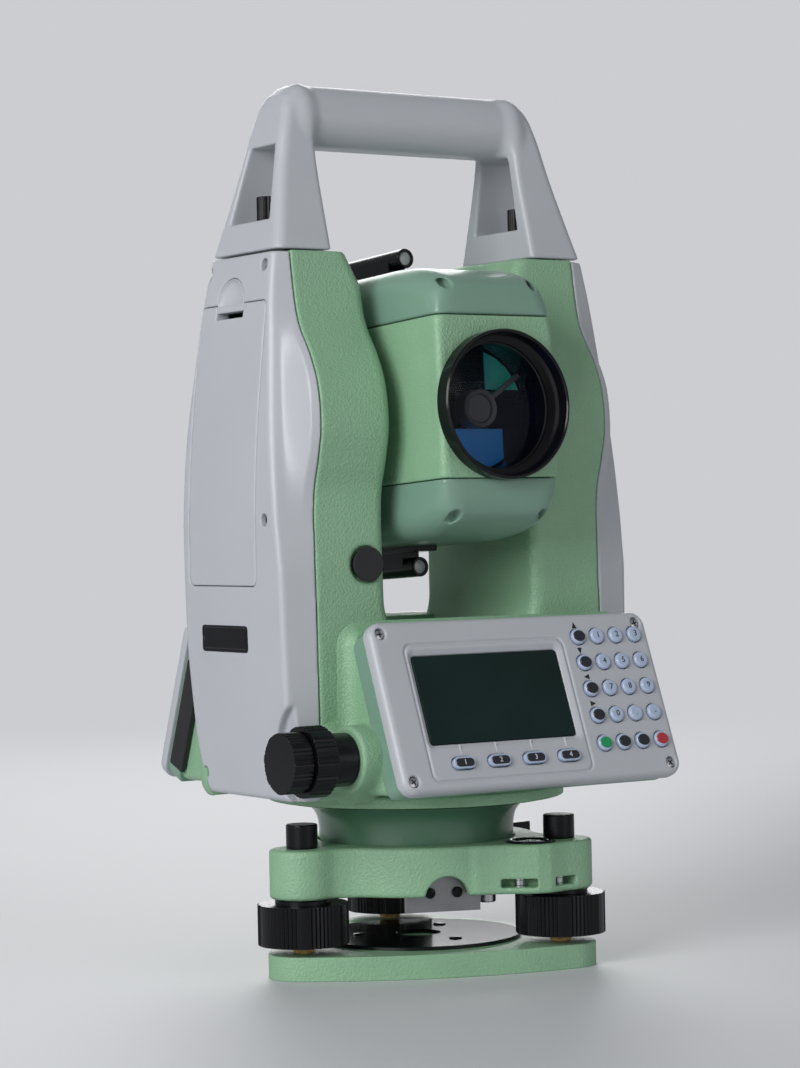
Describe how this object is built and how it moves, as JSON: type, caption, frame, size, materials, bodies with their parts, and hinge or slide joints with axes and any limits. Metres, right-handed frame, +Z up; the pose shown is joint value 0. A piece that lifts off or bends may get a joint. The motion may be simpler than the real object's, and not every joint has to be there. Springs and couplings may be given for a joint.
{
  "type": "surveying total station",
  "caption": "Electronic total station on a three-screw tribrach: turning alidade, tilting telescope, two tilted displays with keypads and a carrying handle.",
  "frame": {"origin": "centre of the tripod thread at the base plate's bottom face, on the vertical axis", "axes": "+Z up along the vertical axis; the main display and the objective face -Y; +X to the operator's right"},
  "size_m": [0.1985, 0.161, 0.352],
  "materials": {
    "textured_green": "fine-grained textured paint",
    "smooth_green": "smooth satin paint",
    "dark_green": "smooth semi-gloss paint",
    "white_plastic": "satin moulded",
    "black_plastic": "satin moulded",
    "black_metal": "black anodised, glossy",
    "steel": "turned",
    "lens_glass": "coated",
    "screen_glass": "clear window over a dark liquid-crystal panel",
    "vial_black": "black housing with a glass bubble",
    "key_blue": "translucent moulded",
    "key_black": "moulded",
    "key_green": "moulded",
    "key_red": "moulded",
    "rubber": "matt"
  },
  "bodies": {
    "tribrach": {"base_plate": "textured_green", "spring_plate": "black_metal", "tribrach_body": "textured_green", "footscrew_caps": "black_plastic", "circular_vial": "vial_black", "centring_base": "dark_green"},
    "footscrew_a": {"footscrew_a": "black_plastic"},
    "footscrew_b": {"footscrew_b": "black_plastic"},
    "footscrew_c": {"footscrew_c": "black_plastic"},
    "lock_knob": {"lock_knob": "black_plastic"},
    "alidade": {"yoke": "textured_green", "left_cover": "white_plastic", "right_cover": "white_plastic", "handle": "white_plastic", "display_housings": "textured_green", "display_bezels": "white_plastic", "lcd_windows": "screen_glass", "rear_keypad": "key_blue", "case_screws": "steel", "port_covers": "rubber"},
    "battery": {"battery": "white_plastic"},
    "battery_latch": {"battery_latch": "white_plastic"},
    "handle_screw_left": {"handle_screw_left": "black_plastic"},
    "handle_screw_right": {"handle_screw_right": "black_plastic"},
    "horizontal_clamp": {"horizontal_clamp_ring": "black_plastic"},
    "horizontal_tangent": {"horizontal_tangent_knob": "black_plastic"},
    "vertical_clamp": {"vertical_clamp_ring": "black_plastic"},
    "vertical_tangent": {"vertical_tangent_knob": "black_plastic"},
    "telescope": {"telescope_body": "textured_green", "telescope_covers": "smooth_green", "objective_ring": "black_metal", "objective_lens": "lens_glass", "optical_sights": "black_plastic", "trunnion_stubs": "steel"},
    "focus_ring": {"focus_ring": "black_plastic"},
    "eyepiece": {"eyepiece": "black_plastic"},
    "key_f1": {"key_f1": "key_blue"},
    "key_f2": {"key_f2": "key_blue"},
    "key_f3": {"key_f3": "key_blue"},
    "key_f4": {"key_f4": "key_blue"},
    "key_a1": {"key_a1": "key_black"},
    "key_a2": {"key_a2": "key_blue"},
    "key_a3": {"key_a3": "key_blue"},
    "key_a4": {"key_a4": "key_blue"},
    "key_b1": {"key_b1": "key_black"},
    "key_b2": {"key_b2": "key_blue"},
    "key_b3": {"key_b3": "key_blue"},
    "key_b4": {"key_b4": "key_blue"},
    "key_c1": {"key_c1": "key_black"},
    "key_c2": {"key_c2": "key_blue"},
    "key_c3": {"key_c3": "key_blue"},
    "key_c4": {"key_c4": "key_blue"},
    "key_d1": {"key_d1": "key_black"},
    "key_d2": {"key_d2": "key_blue"},
    "key_d3": {"key_d3": "key_blue"},
    "key_d4": {"key_d4": "key_blue"},
    "key_e1": {"key_e1": "key_green"},
    "key_e2": {"key_e2": "key_black"},
    "key_e3": {"key_e3": "key_black"},
    "key_e4": {"key_e4": "key_red"}
  },
  "joints": [
    {"name": "alidade_turn", "type": "hinge", "parent": "tribrach", "child": "alidade", "pos_m": [0, 0, 0], "axis": [0, 0, 1], "continuous": true},
    {"name": "telescope_tilt", "type": "hinge", "parent": "alidade", "child": "telescope", "pos_m": [0, 0, 0.2188], "axis": [1, 0, 0], "continuous": true},
    {"name": "footscrew_a_turn", "type": "hinge", "parent": "tribrach", "child": "footscrew_a", "pos_m": [0.02238, 0.05567, 0.02], "axis": [0, 0, 1], "continuous": true},
    {"name": "footscrew_b_turn", "type": "hinge", "parent": "tribrach", "child": "footscrew_b", "pos_m": [-0.0594, -0.00845, 0.02], "axis": [0, 0, 1], "continuous": true},
    {"name": "footscrew_c_turn", "type": "hinge", "parent": "tribrach", "child": "footscrew_c", "pos_m": [0.03702, -0.04722, 0.02], "axis": [0, 0, 1], "continuous": true},
    {"name": "lock_turn", "type": "hinge", "parent": "tribrach", "child": "lock_knob", "pos_m": [0.0495, 0.00705, 0.0395], "axis": [0.99, 0.1409, 0], "range_deg": [0, 180]},
    {"name": "battery_slide", "type": "slide", "parent": "alidade", "child": "battery", "axis": [-1, 0, 0], "range_m": [0, 0.045]},
    {"name": "latch_slide", "type": "slide", "parent": "alidade", "child": "battery_latch", "axis": [0, 0, -1], "range_m": [0, 0.0022], "stiffness_N_per_m": 300},
    {"name": "handle_screw_left_turn", "type": "hinge", "parent": "alidade", "child": "handle_screw_left", "pos_m": [-0.0607, 0.00425, 0.284], "axis": [0, 0, 1], "continuous": true},
    {"name": "handle_screw_right_turn", "type": "hinge", "parent": "alidade", "child": "handle_screw_right", "pos_m": [0.0607, 0.00425, 0.284], "axis": [0, 0, 1], "continuous": true},
    {"name": "horizontal_clamp_turn", "type": "hinge", "parent": "alidade", "child": "horizontal_clamp", "pos_m": [-0.08, -0.05, 0.088], "axis": [-1, 0, 0], "range_deg": [0, 80]},
    {"name": "horizontal_tangent_turn", "type": "hinge", "parent": "alidade", "child": "horizontal_tangent", "pos_m": [-0.09, -0.05, 0.088], "axis": [-1, 0, 0], "continuous": true},
    {"name": "vertical_clamp_turn", "type": "hinge", "parent": "alidade", "child": "vertical_clamp", "pos_m": [0.092, 0.022, 0.1648], "axis": [1, 0, 0], "range_deg": [0, 80]},
    {"name": "vertical_tangent_turn", "type": "hinge", "parent": "alidade", "child": "vertical_tangent", "pos_m": [0.1, 0.022, 0.1648], "axis": [1, 0, 0], "continuous": true},
    {"name": "focus_turn", "type": "hinge", "parent": "telescope", "child": "focus_ring", "pos_m": [0, 0.05493, 0.21592], "axis": [0, 0.9986, -0.0523], "range_deg": [-170, 170]},
    {"name": "eyepiece_turn", "type": "hinge", "parent": "telescope", "child": "eyepiece", "pos_m": [0, 0.0699, 0.21514], "axis": [0, 0.9986, -0.0523], "range_deg": [-170, 170]},
    {"name": "key_f1_press", "type": "slide", "parent": "alidade", "child": "key_f1", "axis": [0, 0.9298, -0.3681], "range_m": [0, 0.0008], "stiffness_N_per_m": 150},
    {"name": "key_f2_press", "type": "slide", "parent": "alidade", "child": "key_f2", "axis": [0, 0.9298, -0.3681], "range_m": [0, 0.0008], "stiffness_N_per_m": 150},
    {"name": "key_f3_press", "type": "slide", "parent": "alidade", "child": "key_f3", "axis": [0, 0.9298, -0.3681], "range_m": [0, 0.0008], "stiffness_N_per_m": 150},
    {"name": "key_f4_press", "type": "slide", "parent": "alidade", "child": "key_f4", "axis": [0, 0.9298, -0.3681], "range_m": [0, 0.0008], "stiffness_N_per_m": 150},
    {"name": "key_a1_press", "type": "slide", "parent": "alidade", "child": "key_a1", "axis": [0, 0.9298, -0.3681], "range_m": [0, 0.0008], "stiffness_N_per_m": 150},
    {"name": "key_a2_press", "type": "slide", "parent": "alidade", "child": "key_a2", "axis": [0, 0.9298, -0.3681], "range_m": [0, 0.0008], "stiffness_N_per_m": 150},
    {"name": "key_a3_press", "type": "slide", "parent": "alidade", "child": "key_a3", "axis": [0, 0.9298, -0.3681], "range_m": [0, 0.0008], "stiffness_N_per_m": 150},
    {"name": "key_a4_press", "type": "slide", "parent": "alidade", "child": "key_a4", "axis": [0, 0.9298, -0.3681], "range_m": [0, 0.0008], "stiffness_N_per_m": 150},
    {"name": "key_b1_press", "type": "slide", "parent": "alidade", "child": "key_b1", "axis": [0, 0.9298, -0.3681], "range_m": [0, 0.0008], "stiffness_N_per_m": 150},
    {"name": "key_b2_press", "type": "slide", "parent": "alidade", "child": "key_b2", "axis": [0, 0.9298, -0.3681], "range_m": [0, 0.0008], "stiffness_N_per_m": 150},
    {"name": "key_b3_press", "type": "slide", "parent": "alidade", "child": "key_b3", "axis": [0, 0.9298, -0.3681], "range_m": [0, 0.0008], "stiffness_N_per_m": 150},
    {"name": "key_b4_press", "type": "slide", "parent": "alidade", "child": "key_b4", "axis": [0, 0.9298, -0.3681], "range_m": [0, 0.0008], "stiffness_N_per_m": 150},
    {"name": "key_c1_press", "type": "slide", "parent": "alidade", "child": "key_c1", "axis": [0, 0.9298, -0.3681], "range_m": [0, 0.0008], "stiffness_N_per_m": 150},
    {"name": "key_c2_press", "type": "slide", "parent": "alidade", "child": "key_c2", "axis": [0, 0.9298, -0.3681], "range_m": [0, 0.0008], "stiffness_N_per_m": 150},
    {"name": "key_c3_press", "type": "slide", "parent": "alidade", "child": "key_c3", "axis": [0, 0.9298, -0.3681], "range_m": [0, 0.0008], "stiffness_N_per_m": 150},
    {"name": "key_c4_press", "type": "slide", "parent": "alidade", "child": "key_c4", "axis": [0, 0.9298, -0.3681], "range_m": [0, 0.0008], "stiffness_N_per_m": 150},
    {"name": "key_d1_press", "type": "slide", "parent": "alidade", "child": "key_d1", "axis": [0, 0.9298, -0.3681], "range_m": [0, 0.0008], "stiffness_N_per_m": 150},
    {"name": "key_d2_press", "type": "slide", "parent": "alidade", "child": "key_d2", "axis": [0, 0.9298, -0.3681], "range_m": [0, 0.0008], "stiffness_N_per_m": 150},
    {"name": "key_d3_press", "type": "slide", "parent": "alidade", "child": "key_d3", "axis": [0, 0.9298, -0.3681], "range_m": [0, 0.0008], "stiffness_N_per_m": 150},
    {"name": "key_d4_press", "type": "slide", "parent": "alidade", "child": "key_d4", "axis": [0, 0.9298, -0.3681], "range_m": [0, 0.0008], "stiffness_N_per_m": 150},
    {"name": "key_e1_press", "type": "slide", "parent": "alidade", "child": "key_e1", "axis": [0, 0.9298, -0.3681], "range_m": [0, 0.0008], "stiffness_N_per_m": 150},
    {"name": "key_e2_press", "type": "slide", "parent": "alidade", "child": "key_e2", "axis": [0, 0.9298, -0.3681], "range_m": [0, 0.0008], "stiffness_N_per_m": 150},
    {"name": "key_e3_press", "type": "slide", "parent": "alidade", "child": "key_e3", "axis": [0, 0.9298, -0.3681], "range_m": [0, 0.0008], "stiffness_N_per_m": 150},
    {"name": "key_e4_press", "type": "slide", "parent": "alidade", "child": "key_e4", "axis": [0, 0.9298, -0.3681], "range_m": [0, 0.0008], "stiffness_N_per_m": 150}
  ]
}
